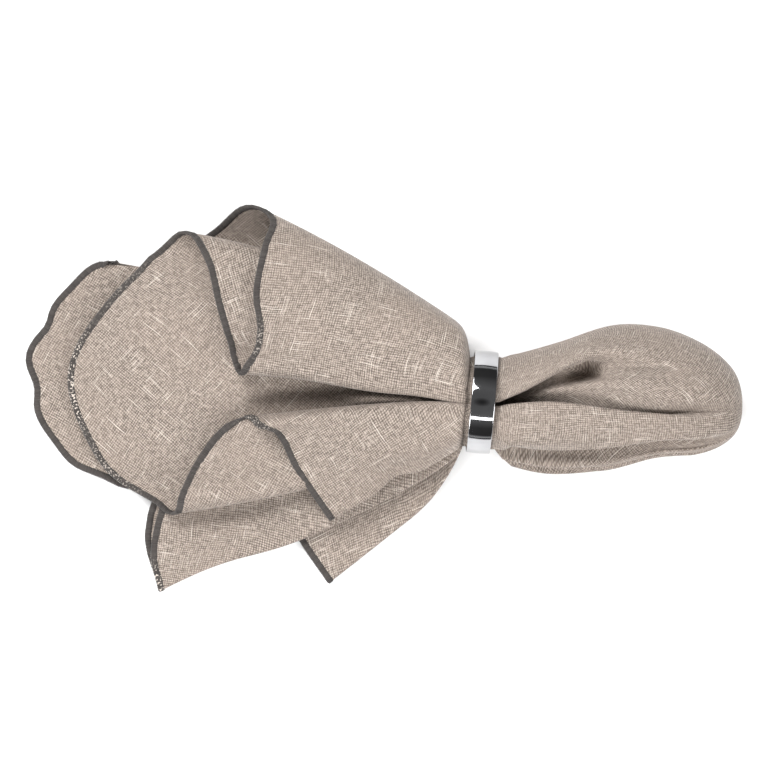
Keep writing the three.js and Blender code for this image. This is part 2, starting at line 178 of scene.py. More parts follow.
# Waves of the hem: the lines between which each lies, its place, how far it runs along the hem,
# how far it reaches out across the hem, how far it lifts, and over what share of a line's step
# it fades at its ends
HEM_WAVES = [
    ("back_low_bulge", "back_lower_side", "back_left_side", (-180, -28), 14, 2.4, -0.6, 0.5),
    ("back_low_dent", "back_left_side", "back_upper_side", (-196, 7), 8, -3.2, 1.6, 0.5),
    ("back_high_dent", "back_left_side", "back_upper_side", (-192, 36), 8, -2.6, 1.2, 0.5),
    ("back_corner_bulge", "back_left_side", "back_upper_side", (-198, 19), 9, 2.0, 0.4, 0.5),
    ("back_high_bulge", "back_corner", "back_fold", (-172, 60), 10, 3.8, -0.4, 0.22),
    ("back_low_end", "lowest_under", "back_lower_side", (-145, -42), 16, -14.0, 0.0, 0.5),
    ("front_top_bulge", "front_upper_fold", "front_upper_side", (-140, 66), 13, 3.3, 0.0, 0.15),
    ("front_top_dent", "upper_inner_side", "front_upper_fold", (-123, 66), 22, -5.2, 0.0, 0.12),
    ("upper_inner_bulge", "upper_crest", "upper_inner_side", (-108.6, 17.5), 6, 2.0, 0.0, 0.12),
    ("upper_lobe_turn", "upper_lobe_low", "upper_crest", (-100, 19), 7, -2.4, 0.0, 0.12),
    ("front_low_bulge", "front_upper_side", "front_lower_fold", (-159, -31), 26, 4.2, 0.0, 0.12),
]
HEM_WAVE_DEPTH = 26.0

# Dents in a fold's edge: the fold, where along it, how long, and how far sideways and up
FOLD_DENTS = [
    ("lower_lobe_fold", -38, 6.5, 3.2, 0.8),
    ("lower_lobe_fold", -24, 6.0, -0.8, 0.0),
    ("long_fold", -104, 16, 1.0, 0.0),
    ("long_fold", -122, 22, 3.4, 0.6),
    ("lowest_fold", -20, 16, -6.0, 0.0),
    ("lowest_fold", -42, 18, -1.5, 0.0),
    ("upper_crest", -10, 16, -2.6, 0.0),
    ("upper_crest", -44, 30, -4.2, -2.2),
    ("lower_crest", -50, 55, -1.4, 0.0),
    ("front_lower_fold", -108, 30, 0.0, 2.6),
]

# Soft creases seen from above: the lines between which each lies, how high it stands (a trough
# is below 0), how wide it is, and where it runs
CREASES = [
    ("upper_lobe_gather", "upper_roll", "upper_crest", -0.7, 3.4, [(-11, 15), (-28, 24), (-52, 36)]),
    ("upper_lobe_ridge", "upper_roll", "upper_crest", 0.5, 3.2, [(-11, 11), (-34, 17), (-60, 24)]),
    ("upper_lobe_pull", "upper_roll", "upper_crest", -0.5, 3.0, [(-11, 6), (-36, 9), (-66, 14)]),
    ("upper_lobe_sag", "upper_roll", "upper_crest", -0.9, 11, [(-40, 44), (-66, 55), (-92, 58)]),
    ("lower_lobe_gather", "lower_crest", "lower_lobe_fold", -0.6, 3.0, [(-11, -9), (-30, -14), (-54, -24)]),
    ("lower_lobe_ridge", "lower_crest", "lower_lobe_fold", 0.5, 3.0, [(-11, -5), (-34, -7), (-62, -13)]),
    ("lower_lobe_pull", "lower_crest", "lower_lobe_fold", -0.7, 4.0, [(-24, -22), (-40, -28), (-58, -36)]),
    ("long_fold_gather", "first_panel", "long_fold", 0.6, 3.4, [(-34, -33), (-72, -50), (-118, -62)]),
    ("long_fold_sag", "first_panel", "long_fold", -0.7, 6.0, [(-70, -56), (-100, -62), (-138, -74)]),
    ("lowest_gather", "third_panel", "lowest_fold", -0.6, 4.0, [(-14, -24), (-40, -46), (-64, -66)]),
    ("lowest_ridge", "third_panel", "lowest_fold", 0.5, 4.0, [(-22, -34), (-46, -55), (-66, -72)]),
    ("front_petal_sag", "front_corner", "front_lower_side", -0.8, 12, [(-118, 2), (-145, 0), (-172, 6)]),
    ("front_petal_roll", "front_upper_side", "front_corner", 0.8, 13, [(-120, 34), (-145, 42), (-166, 40)]),
    ("puff_flap_gather", "upper_roll", "upper_crest", -0.5, 2.6, [(11, 12), (24, 16), (40, 24)]),
    ("puff_flap_ridge", "upper_roll", "upper_crest", 0.5, 2.8, [(11, 6), (22, 8), (38, 14)]),
    ("puff_roll_gather", "lower_crest", "lower_lobe", -0.5, 2.6, [(11, -6), (26, -7), (46, -9)]),
    ("puff_roll_ridge", "lower_crest", "lower_lobe", 0.4, 2.8, [(11, -12), (28, -14), (52, -15)]),
    ("puff_bowl_pull", "front_upper_side", "front_lower_side", 0.6, 5.0, [(48, 4), (70, 9), (96, 8)]),
    ("puff_bowl_fill", "upper_crest", "front_lower_fold", 6.0, 8.0, [(8, 1), (22, 3), (34, 6), (46, 5)]),
    ("puff_pocket", "upper_crest", "front_corner", -10.0, 6.5, [(34, 9), (44, 13.5), (54, 14)]),
    ("puff_low_ridge", "lower_lobe", "back_lower_side", 1.4, 4.0,
     [(10, -25), (34, -26), (52, -26), (68, -24)]),
    ("valley", "front_upper_side", "front_lower_side", -4.4, 9.0,
     [(-110, -2), (-88, 0), (-66, 2), (-44, 2)]),
    ("under_valley", "lower_lobe_fold", "lowest_upper", -4.0, 18.0,
     [(-120, -1), (-92, 0), (-62, 2), (-40, 2)]),
    ("valley_fill", "front_upper_side", "front_lower_side", 9.0, 6.5,
     [(-6, 1), (-20, 1), (-44, 1.5), (-72, 1)]),
    ("long_fold_shade", "first_panel", "long_fold", -2.2, 9.0, [(-134, -50), (-108, -46), (-78, -40)]),
    ("lower_lobe_edge", "lower_lobe", "lower_lobe_fold", -0.8, 1.6, [(-8, -18.5), (-20, -24), (-36, -29)]),
]
# How a crease grows at its start and fades at its end, as shares of its length, and what it starts from
CREASE_START = 0.3
CREASE_END = 0.4
CREASE_REST = 0.25
# Over what share of a line's step a crease fades sideways
LINE_FADE = 0.6

# The overlocked hem
HEM = {
    "width": 2.55,
    "stitch_pitch": 0.62,
    "thread_half_width": 0.42,
    "thread_half_height": 0.2,
    "lift": 0.28,
    "edge_wrap": 0.25,
    "lean": 0.22,
    "unevenness": 0.045,
    "slant_deg": 2.5,
    "seed": 7,
}
# A stitch's path over the cloth's face: shares of the hem's width and of the thread's lift
STITCH_ARCH = [(1, 0.35), (0.72, 0.94), (0.36, 1.0), (0.06, 0.85)]
# Where pale cloth shows in flecks between the stitches: the lines between which it lies, its place,
# its radius and how much shows
WORN_HEMS = [
    ("front_petal_left", "front_upper_side", "front_lower_side", (-180, 8), 26, 1.0),
    ("front_petal_top", "front_upper_fold", "front_corner", (-158, 52), 18, 0.25),
    ("front_petal_low", "front_corner", "front_lower_fold", (-160, -30), 18, 0.6),
    ("long_fold_end", "long_fold_upper", "long_fold_under", (-142, -80), 12, 1.0),
    ("upper_lobe_low", "upper_lobe", "upper_crest", (-100, 22), 12, 0.6),
    ("lower_lobe_high", "lower_inner_crest", "lower_lobe_crest", (-98, -8), 9, 0.6),
]
WORN_SPREAD = 1.4

# Light and camera
PHOTO_FRAME = 335.6
PHOTO_CENTRE = (-42.8, 7.9, 20.0)
LENS = 200.0
SENSOR = 36.0
# Soft boxes: place, width and height, power in watts
SOFTBOXES = [
    ("key_softbox", (-560, 840, 1100), (800, 800), 31),
    ("fill_softbox", (900, -600, 950), (900, 900), 19),
    ("near_softbox", (-900, -850, 750), (700, 700), 16),
    ("strip_softbox", (-100, -650, 900), (900, 110), 2.5),
]
# The room's light from the horizon, 0, to straight above, 1: a pale wall under a dark ceiling
ROOM_LIGHT = [(0.0, 0.02), (0.03, 0.02), (0.05, 0.6), (0.09, 0.45), (0.16, 0.05), (0.5, 0.06),
              (0.85, 0.2), (0.985, 0.17), (1.0, 0.04)]
TABLE_HALF = 2000.0
TABLE_HEIGHT = -0.05


def to_frame(points):
    """Points in the ring's own frame, in millimetres, as points of the shared frame, in metres."""
    low, high = (np.array(corner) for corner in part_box("ring"))
    ring_middle = (low + high) / 2
    return np.asarray(points, dtype=float) * MM + ring_middle - np.array([0, 0, AXIS_HEIGHT * MM])


def blend(start, end, share):
    return start + (end - start) * share


def smooth(share):
    share = np.clip(share, 0, 1)
    return share * share * (3 - 2 * share)


def unit(vectors):
    return vectors / np.maximum(np.linalg.norm(vectors, axis=-1, keepdims=True), 1e-12)


def beside(vectors, along):
    """The part of each vector that lies square to a unit vector."""
    return vectors - (vectors * along).sum(axis=-1, keepdims=True) * along


def run_of(edge):
    """The direction of a closed line at each of its points."""
    return unit(np.roll(edge, -1, axis=0) - np.roll(edge, 1, axis=0))


def drift(x):
    """How far the turned ring's axis lies to the side at x."""
    return x * ASKEW


def hermite(start, end, start_slope, end_slope, part):
    """A smooth curve between two points with the given slopes."""
    back = 1 - part
    return (start * (1 + 2 * part) * back ** 2 + end * part ** 2 * (3 - 2 * part)
            + start_slope * part * back ** 2 - end_slope * part ** 2 * back)


# The lines of the cloth

def fan_points(share):
    """All lines at a share of their way from the ring's edge to the hem."""
    start_x = FAN_START + LEAN
    length = start_x - LINE["hem_x"]
    fade = 1 - share ** 2
    outward = unit(RING_PLACE) * LINE["flare"][:, None]
    flare = outward * ((1 - np.exp(-length * share / FLARE_LENGTH)) * fade)[:, None]
    bow = LINE["bow"] * (1 - np.exp(-share / BOW_SHARE)) * fade
    start_y = LINE["ring_y"] * FAN_WAIST + drift(FAN_START)
    start_z = LINE["ring_z"] * FAN_WAIST + AXIS_HEIGHT

    def settled(part):
        return blend(start_z, LINE["level"], 1 - np.exp(-length * part / SETTLE_LENGTH))

    x = blend(start_x, LINE["hem_x"], share)
    y = blend(start_y, LINE["hem_y"], share) + bow + flare[:, 0]
    z = settled(share) + (LINE["hem_z"] - settled(1)) * share ** DROOP_POWER + flare[:, 1]
    return np.stack([x, y, z], axis=1)


def ring_points(x):
    """All lines where they pass x inside the ring, narrowest at its edges."""
    edge, edge_waist = (PUFF_START, PUFF_WAIST) if x > 0 else (FAN_START, FAN_WAIST)
    waist = blend(1, edge_waist, (x / edge) ** 2)
    y = LINE["ring_y"] * waist + drift(x)
    z = LINE["ring_z"] * waist + AXIS_HEIGHT
    return np.stack([x + LEAN, y, z], axis=1)


def puff_outline(share):
    """The puff's far side, middle line, near side, underside and top at a share of its length."""
    shares, sides = PUFF_OUTLINE[:, 0], PUFF_OUTLINE[:, 1:]
    last = len(shares) - 1
    after = int(np.clip(np.searchsorted(shares, share), 1, last))
    before = after - 1

    def slope(row):
        low, high = max(row - 1, 0), min(row + 1, last)
        return (sides[high] - sides[low]) / (shares[high] - shares[low])

    span = shares[after] - shares[before]
    return hermite(sides[before], sides[after], slope(before) * span, slope(after) * span,
                   (share - shares[before]) / span)


def puff_points(share):
    """All lines at a share of their way from the ring to the puff's tip."""
    far, middle, near, under, top = puff_outline(share)

    def rounded(value):
        return np.sign(value) * np.abs(value) ** (2 / PUFF_ROUNDNESS)

    angle = np.radians(LINE["puff_deg"])
    sideways = blend(LINE["ring_y"] / GATHER_RADIUS, rounded(np.cos(angle)),
                     smooth(share / LINE["opens_at"]))
    upwards = blend(LINE["ring_z"] / GATHER_RADIUS, rounded(np.sin(angle)),
                    smooth(share / LINE["rises_at"]))
    x = blend(PUFF_START + LEAN, PUFF_START + PUFF_LENGTH, math.sin(share * math.pi / 2))
    y = middle + sideways * np.where(sideways > 0, far - middle, middle - near)
    z = blend(under, top, (1 + upwards) / 2)
    return np.stack([x, y, z], axis=1)


def stations():
    """The cloth's cross sections from the puff's tip to the hem: points, directions, fold widening."""
    tiny = 1e-4
    found = []
    for share in np.linspace(1, 0, PUFF_STEPS + 2)[1:-1]:
        found.append((puff_points(share), puff_points(share - tiny) - puff_points(share), 0.0))
    for x in np.linspace(PUFF_START, FAN_START, RING_STEPS):
        found.append((ring_points(x), ring_points(x - tiny) - ring_points(x), 0.0))
    for share in (np.arange(1, FAN_STEPS + 1) / FAN_STEPS) ** FAN_GRADING:
        direction = fan_points(share) - fan_points(share - tiny)
        found.append((fan_points(share), direction, share ** FOLD_WIDENING))
    return found


def turn_at_fold(points, directions, widening, k):
    """Where the cloth enters, turns and leaves the fold on line k."""
    bend = LINE["bend"][k]
    here, direction = points[k], unit(directions[k])
    back, ahead = points[k - 1] - here, points[(k + 1) % len(points)] - here
    room = min(np.linalg.norm(back), np.linalg.norm(ahead))
    if bend >= SOFT_FOLD_RADIUS:
        widening = widening ** SOFT_WIDENING
    full_radius = blend(TIGHT_FOLD_RADIUS, max(bend, TIGHT_FOLD_RADIUS), widening)
    radius = min(full_radius, TURN_WIDTH_SHARE * room)
    softness = blend(1, FOLD_SOFTNESS, widening) if bend >= SOFT_FOLD_RADIUS else 1
    back_flat = unit(beside(back, direction))
    ahead_flat = unit(beside(ahead, direction))
    inward = (back_flat + ahead_flat) / 2
    sharpness = np.linalg.norm(inward)
    apart = unit(back_flat - ahead_flat)
    if sharpness > 1e-3:
        apart = unit(np.cross(direction, inward))
        apart = apart * np.sign(apart.dot(back_flat - ahead_flat))
    depth = min(radius * softness, TURN_DEPTH_SHARE * room) * sharpness
    enter = here + depth * unit(back) + radius * apart
    leave = here + depth * unit(ahead) - radius * apart
    return [enter, here, leave]


def knots_of(points, directions, widening):
    """The section's knots, with three at each fold, each knot's part, and its row among the lines."""
    knots, parts, rows = [], [], []
    for k in range(len(points)):
        if LINE["bend"][k] > 0:
            knots += turn_at_fold(points, directions, widening, k)
            parts += ["enter", "turn", "leave"]
            rows += [k - TURN_ROWS, k, k + TURN_ROWS]
        else:
            knots.append(points[k])
            parts.append("panel")
            rows.append(k)
    return np.array(knots), parts, np.array(rows, dtype=float)


def stretch_counts(hem_knots, parts, rows):
    """How many steps the cloth takes from each knot to the next."""
    lengths = np.linalg.norm(np.roll(hem_knots, -1, axis=0) - hem_knots, axis=1)
    counts = []
    for length, part, row in zip(lengths, parts, rows):
        in_fold = part in ("enter", "turn")
        step = LINE["step"][int(round(row)) % len(LINES)]
        fold_steps = max(FOLD_STEPS, int(round(length / SHOWN_STEP)))
        counts.append(fold_steps if in_fold else max(2, int(round(length / step))))
    return counts


def section(points, directions, widening, counts):
    """One closed cross section of the cloth, as smooth stretches between its knots."""
    knots, parts, rows = knots_of(points, directions, widening)
    ahead = unit(np.roll(knots, -1, axis=0) - knots)
    back = np.roll(ahead, 1, axis=0)
    slopes = unit(ahead + back)
    for k, part in enumerate(parts):
        if part == "enter":
            slopes[k] = back[k]
        elif part == "leave":
            slopes[k] = ahead[k]
        elif part == "turn":
            slopes[k] = unit(knots[(k + 1) % len(knots)] - knots[k - 1])
    found = []
    for k, count in enumerate(counts):
        after = (k + 1) % len(knots)
        fullness = 1.0
        if parts[k] in ("enter", "turn"):
            bend = LINE["bend"][int(round(rows[k])) % len(LINES)]
            fullness = SOFT_FULLNESS if bend >= SOFT_FOLD_RADIUS else TIGHT_FULLNESS
        length = np.linalg.norm(knots[after] - knots[k]) * fullness
        part = (np.arange(count) / count)[:, None]
        ends = slopes[k] * length, slopes[after] * length
        found.append(hermite(knots[k], knots[after], *ends, part))
    return np.concatenate(found)


def column_rows(rows, counts):
    """The place of each column of the sheet among the lines, as a row number with a fraction."""
    ends = np.append(rows[1:], rows[0] + len(LINES))
    return np.concatenate([blend(start, end, np.arange(count) / count)
                           for start, end, count in zip(rows, ends, counts)])


def facings(grid, tip):
    """The outward normal at each point of the grid."""
    before = np.concatenate([np.broadcast_to(tip, grid[:1].shape), grid[:-1]])
    along = unit(grid - before)
    along[:-1] += unit(grid[1:] - grid[:-1])
    ahead = unit(np.roll(grid, -1, axis=1) - grid)
    across = ahead + np.roll(ahead, 1, axis=1)
    return unit(np.cross(along, across))


# Waves, dents and creases laid on the folds

def between_lines(rows, first, last, fade=LINE_FADE):
    """How far each column belongs to the stretch from one named line to another, fading at its ends."""
    start = LINE_NAMES.index(first)
    span = (LINE_NAMES.index(last) - start) % len(LINES)
    place = (rows - start) % len(LINES)
    inside = np.minimum(place, span - place)
    return smooth(inside / fade)


def wave_the_hem(grid, rows):
    """Push parts of the hem in or out across its run, and lift them."""
    lengths = along_lengths(grid, 0)
    near_hem = smooth(1 - (lengths[-1] - lengths) / HEM_WAVE_DEPTH)
    outward = unit(beside(unit(grid[-1] - grid[-6]), run_of(grid[-1])))
    moved = grid.copy()
    for _, first, last, place, run, reach, lift, fade in HEM_WAVES:
        away = np.linalg.norm(grid[-1, :, :2] - np.array(place), axis=1)
        weight = np.exp(-(away / run) ** 2) * between_lines(rows, first, last, fade)
        push = outward * reach + np.array([0, 0, lift])
        moved += near_hem[..., None] * (weight[:, None] * push)[None]
    return moved


def dent_the_folds(grid, rows):
    """Shift short stretches of a fold's edge sideways and up."""
    moved = grid.copy()
    for name, x, run, sideways, lift in FOLD_DENTS:
        apart = np.abs((rows - LINE_NAMES.index(name) + len(LINES) / 2) % len(LINES) - len(LINES) / 2)
        weight = smooth(1 - apart) * np.exp(-((grid[..., 0] - x) / run) ** 2)
        moved[..., 1] += weight * sideways
        moved[..., 2] += weight * lift
    return moved


def along_path(points, path):
    """Each point's distance in plan from a path, and its share of the path's length."""
    path = np.array(path, dtype=float)
    runs = np.linalg.norm(np.diff(path, axis=0), axis=1)
    starts = np.concatenate([[0], np.cumsum(runs)[:-1]])
    nearest = np.full(points.shape[:-1], np.inf)
    share = np.zeros(points.shape[:-1])
    for start, end, run, done in zip(path[:-1], path[1:], runs, starts):
        part = np.clip(((points - start) @ (end - start)) / run ** 2, 0, 1)
        gap = np.linalg.norm(points - (start + part[..., None] * (end - start)), axis=-1)
        closer = gap < nearest
        nearest = np.where(closer, gap, nearest)
        share = np.where(closer, (done + part * run) / runs.sum(), share)
    return nearest, share


def crease_the_cloth(grid, rows, normals):
    """Raise the soft ridges and sink the soft troughs of the crease table."""
    height = np.zeros(grid.shape[:2])
    for _, first, last, rise, width, path in CREASES:
        gap, share = along_path(grid[..., :2], path)
        profile = smooth(1 - gap / width)
        grown = smooth(share / CREASE_START)
        taper = grown * smooth((1 - share) / CREASE_END) + CREASE_REST * (1 - grown)
        height += rise * profile * taper * between_lines(rows, first, last)[None]
    return grid + normals * (normals[..., 2] * height)[..., None]


def cloth_grid():
    """The cloth's middle surface as a grid, the same without creases, its tip, and its columns' rows."""
    found = stations()
    hem_knots, parts, knot_rows = knots_of(*found[-1])
    counts = stretch_counts(hem_knots, parts, knot_rows)
    grid = np.array([section(*station, counts) for station in found])
    rows = column_rows(knot_rows, counts)
    tip = np.array([PUFF_START + PUFF_LENGTH, PUFF_OUTLINE[-1, 1], PUFF_OUTLINE[-1, 4]])
    plain = dent_the_folds(wave_the_hem(grid, rows), rows)
    grid = crease_the_cloth(plain, rows, facings(plain, tip))
    grid[..., 2] = np.maximum(grid[..., 2], CLOTH_THICKNESS / 2)
    return grid, plain, tip, rows


# The map of the weave, in millimetres of flat cloth

def along_lengths(grid, start):
    """How far each point of the grid lies along its column from the station start."""
    steps = np.linalg.norm(np.diff(grid[start:], axis=0), axis=2)
    return np.concatenate([np.zeros((1, grid.shape[1])), np.cumsum(steps, axis=0)])


def panel_map(grid, lengths, columns):
    """One panel of the fan rolled out flat as part of a cone, with the threads along its hem."""
    panel, reach = grid[:, columns], lengths[:, columns]
    outer = slice(len(grid) // 3, None)
    gaps = np.diff(panel, axis=1)
    along = unit(np.gradient(panel, axis=0))[:, :-1]
    across = np.linalg.norm(beside(gaps, along), axis=2)
    spread, width = np.polyfit(reach.mean(axis=1)[outer], across.sum(axis=1)[outer], 1)
    apex = max(width, LEAST_PANEL_WIDTH) / max(spread, LEAST_PANEL_SPREAD)
    radius = apex + (reach[:, 1:] + reach[:, :-1]) / 2
    turns = (across * radius)[outer].sum(axis=0) / (radius ** 2)[outer].sum(axis=0)
    angles = np.concatenate([[0], np.cumsum(turns)])
    flat = (apex + reach) * np.exp(1j * angles)
    hem_runs = np.diff(flat[-1])
    thread_angle = np.angle((np.abs(hem_runs) * (hem_runs / np.abs(hem_runs)) ** 4).sum()) / 4
    return flat * np.exp(-1j * thread_angle)


def puff_map(grid, tip, base):
    """The puff spread out flat round its tip, with the threads on the bias down the base column."""
    from_tip = np.concatenate([np.broadcast_to(tip, grid[:1].shape), grid])
    reach = along_lengths(from_tip, 0)[1:]
    reach = np.concatenate([reach, reach[:, :1]], axis=1)
    fullest = slice(len(grid) // 3, 2 * len(grid) // 3)
    widths = np.linalg.norm(np.roll(grid, -1, axis=1) - grid, axis=2)[fullest].mean(axis=0)
    angles = np.concatenate([[0], np.cumsum(widths)]) * 2 * math.pi / widths.sum()
    return reach * np.exp(1j * (angles - angles[base] + math.pi / 4))


def weave_map(grid, tip, rows, middle):
    """A place in the flat cloth for each corner of each cell of the grid, as a complex number."""
    stations_count, columns_count = grid.shape[:2]
    corners = np.zeros((stations_count - 1, columns_count, 4), dtype=complex)

    def fill(flat, first_station, columns):
        cells = (slice(first_station, first_station + len(flat) - 1), columns[:-1])
        corners[cells + (0,)] = flat[:-1, :-1]
        corners[cells + (1,)] = flat[:-1, 1:]
        corners[cells + (2,)] = flat[1:, 1:]
        corners[cells + (3,)] = flat[1:, :-1]

    corner = int(np.argmin(np.abs(rows - LINE_NAMES.index("front_corner"))))
    puff = puff_map(grid[:middle + 1], tip, corner)
    fill(puff, 0, np.arange(columns_count + 1) % columns_count)
    lengths = along_lengths(grid, middle)
    folds = [int(np.argmin(np.abs(rows - k))) for k in range(len(LINES)) if LINE["bend"][k] > 0]
    for number, start in enumerate(folds):
        end = folds[(number + 1) % len(folds)]
        count = (end - start) % columns_count
        columns = (start + np.arange(count + 1)) % columns_count
        shift = PANEL_SHIFT * (number + 1)
        fill(panel_map(grid[middle:], lengths, columns) + shift, middle, columns)
    return corners


def hem_gaps(grid):
    """How far each point of the grid lies from the hem, along the cloth."""
    lengths = along_lengths(grid, 0)
    to_hem = lengths[-1] - lengths
    inward = unit(grid[-3] - grid[-1])
    slant = np.linalg.norm(np.cross(run_of(grid[-1]), inward), axis=1)
    return to_hem * slant


# The pieces

def add_object(name, data):
    added = bpy.data.objects.new(name, data)
    bpy.context.scene.collection.objects.link(added)
    return added


def shade_smooth(mesh):
    mesh.polygons.foreach_set("use_smooth", np.ones(len(mesh.polygons), dtype=bool))


def add_piece(name, points, faces, material):
    """A smooth object of one material, from points in millimetres."""
    mesh = bpy.data.meshes.new(name)
    mesh.from_pydata(to_frame(points), [], faces)
    shade_smooth(mesh)
    mesh.materials.append(material)
    return add_object(name, mesh)


def store(mesh, name, values):
    """Keep a number or a vector for each point of the mesh under a name."""
    values = np.asarray(values, dtype=np.float32)
    kind, field = ("FLOAT", "value") if values.ndim == 1 else ("FLOAT_VECTOR", "vector")
    mesh.attributes.new(name, kind, "POINT").data.foreach_set(field, values.ravel())


def sheet_cells(stations_count, columns_count):
    """The grid's cells as corners of points, from one station to the next."""
    place = 1 + np.arange(stations_count * columns_count).reshape(stations_count, columns_count)
    after = np.roll(place, -1, axis=1)
    return np.stack([place[:-1], after[:-1], after[1:], place[1:]], axis=-1).reshape(-1, 4)


def make_napkin(material):
    """The napkin: one thin closed sheet from the puff's tip to the hem."""
    grid, plain, tip, rows = cloth_grid()
    stations_count, columns_count = grid.shape[:2]
    normals = facings(grid, tip)
    half = CLOTH_THICKNESS / 2
    per_side = 1 + stations_count * columns_count
    points = np.zeros((2 * per_side, 3))
    for side, offset in enumerate((half, -half)):
        first = side * per_side
        points[first] = tip + [offset, 0, 0]
        points[first + 1:first + per_side] = (grid + normals * offset).reshape(-1, 3)
    points[:, 2] = np.maximum(points[:, 2], 0)

    cells = sheet_cells(stations_count, columns_count)
    outer = cells[:, [0, 3, 2, 1]]
    inner = cells + per_side
    first_ring = 1 + np.arange(columns_count)
    next_ring = np.roll(first_ring, -1)
    tip_outer = np.stack([np.zeros(columns_count, dtype=int), first_ring, next_ring], axis=1)
    tip_inner = np.stack([np.full(columns_count, per_side), next_ring + per_side,
                          first_ring + per_side], axis=1)
    hem = 1 + (stations_count - 1) * columns_count + np.arange(columns_count)
    next_hem = np.roll(hem, -1)
    rim = np.stack([hem, hem + per_side, next_hem + per_side, next_hem], axis=1)
    faces = [face for group in (outer, inner, rim, tip_outer, tip_inner) for face in group.tolist()]

    piece = add_piece("napkin_cloth", points, faces, material)
    mesh = piece.data

    middle = PUFF_STEPS + RING_STEPS // 2
    corners = weave_map(plain, tip, rows, middle)
    flat_cells = corners.reshape(-1, 4)
    rim_map = corners[-1][:, [3, 3, 2, 2]]
    tip_map = flat_cells[:columns_count][:, [0, 0, 1]]
    tip_map[:, 0] = 0
    flat = np.concatenate([flat_cells[:, [0, 3, 2, 1]].ravel(), flat_cells.ravel(), rim_map.ravel(),
                           tip_map.ravel(), tip_map[:, [0, 2, 1]].ravel()])
    layer = mesh.uv_layers.new(name="weave")
    layer.uv.foreach_set("vector", np.stack([flat.real, flat.imag], axis=1).astype(np.float32).ravel())

    gaps = hem_gaps(grid)
    store(mesh, "hem_gap", np.concatenate([[gaps.max()], gaps.ravel()] * 2))

    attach(piece, "root")
    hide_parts("napkin")
    return piece, grid, rows, normals


# The hem's stitches

def make_stitch():
    """One thread of the overlock: over the cloth's edge and back into both faces, 4-sided."""
    width, lift = HEM["width"], HEM["lift"] + CLOTH_THICKNESS / 2
    upper = [(inward * width, height * lift) for inward, height in STITCH_ARCH]
    lower = [(inward, -height) for inward, height in reversed(upper)]
    path = np.array([*upper, (-HEM["edge_wrap"], 0.0), *lower])
    lean = np.linspace(HEM["lean"], -HEM["lean"], len(path))
    along = unit(np.gradient(path, axis=0))
    across = np.stack([along[:, 1], -along[:, 0]], axis=1)
    points = []
    for place, side, sideways in zip(path, across, lean):
        for wide, high in ((1, 0), (0, 1), (-1, 0), (0, -1)):
            inward, height = place + side * high * HEM["thread_half_height"]
            points.append((inward, sideways + wide * HEM["thread_half_width"], height))
    faces = [(0, 1, 2, 3), tuple(4 * len(path) - 4 + k for k in (3, 2, 1, 0))]
    for step in range(len(path) - 1):
        for side in range(4):
            here, after = 4 * step + side, 4 * step + (side + 1) % 4
            faces.append((here, here + 4, after + 4, after))
    mesh = bpy.data.meshes.new("overlock_thread")
    mesh.from_pydata(np.array(points) * MM, [], faces)
    shade_smooth(mesh)
    return add_object("overlock_thread", mesh)


def hem_line(grid, rows, normals):
    """The hem as a closed line of points that know which way is inward and which way is up."""
    edge = grid[-1]
    tangent = run_of(edge)
    facing = unit(beside(normals[-1], tangent))
    inward = unit(np.cross(facing, tangent))
    inward *= np.sign((inward * (grid[-4] - edge)).sum(axis=1, keepdims=True))
    worn = np.zeros(len(edge))
    for _, first, last, place, radius, share in WORN_HEMS:
        away = np.linalg.norm(edge[:, :2] - np.array(place), axis=1)
        weight = smooth(WORN_SPREAD - away / radius) * between_lines(rows, first, last)
        worn = np.maximum(worn, share * weight)
    count = len(edge)
    mesh = bpy.data.meshes.new("hem_stitches")
    mesh.from_pydata(to_frame(edge), [(k, (k + 1) % count) for k in range(count)], [])
    for name, values in (("inward", inward), ("facing", facing), ("worn", worn)):
        store(mesh, name, values)
    return add_object("hem_stitches", mesh)


def put(tree, socket, value):
    """Link a socket to another node's output, or set its value."""
    if isinstance(value, bpy.types.NodeSocket):
        tree.links.new(value, socket)
    else:
        socket.default_value = value


def add_node(tree, kind, settings=(), inputs=()):
    """A node with its settings, and with its inputs linked or set."""
    made = tree.nodes.new(kind)
    for name, value in dict(settings).items():
        setattr(made, name, value)
    for name, value in dict(inputs).items():
        put(tree, made.inputs[name], value)
    return made


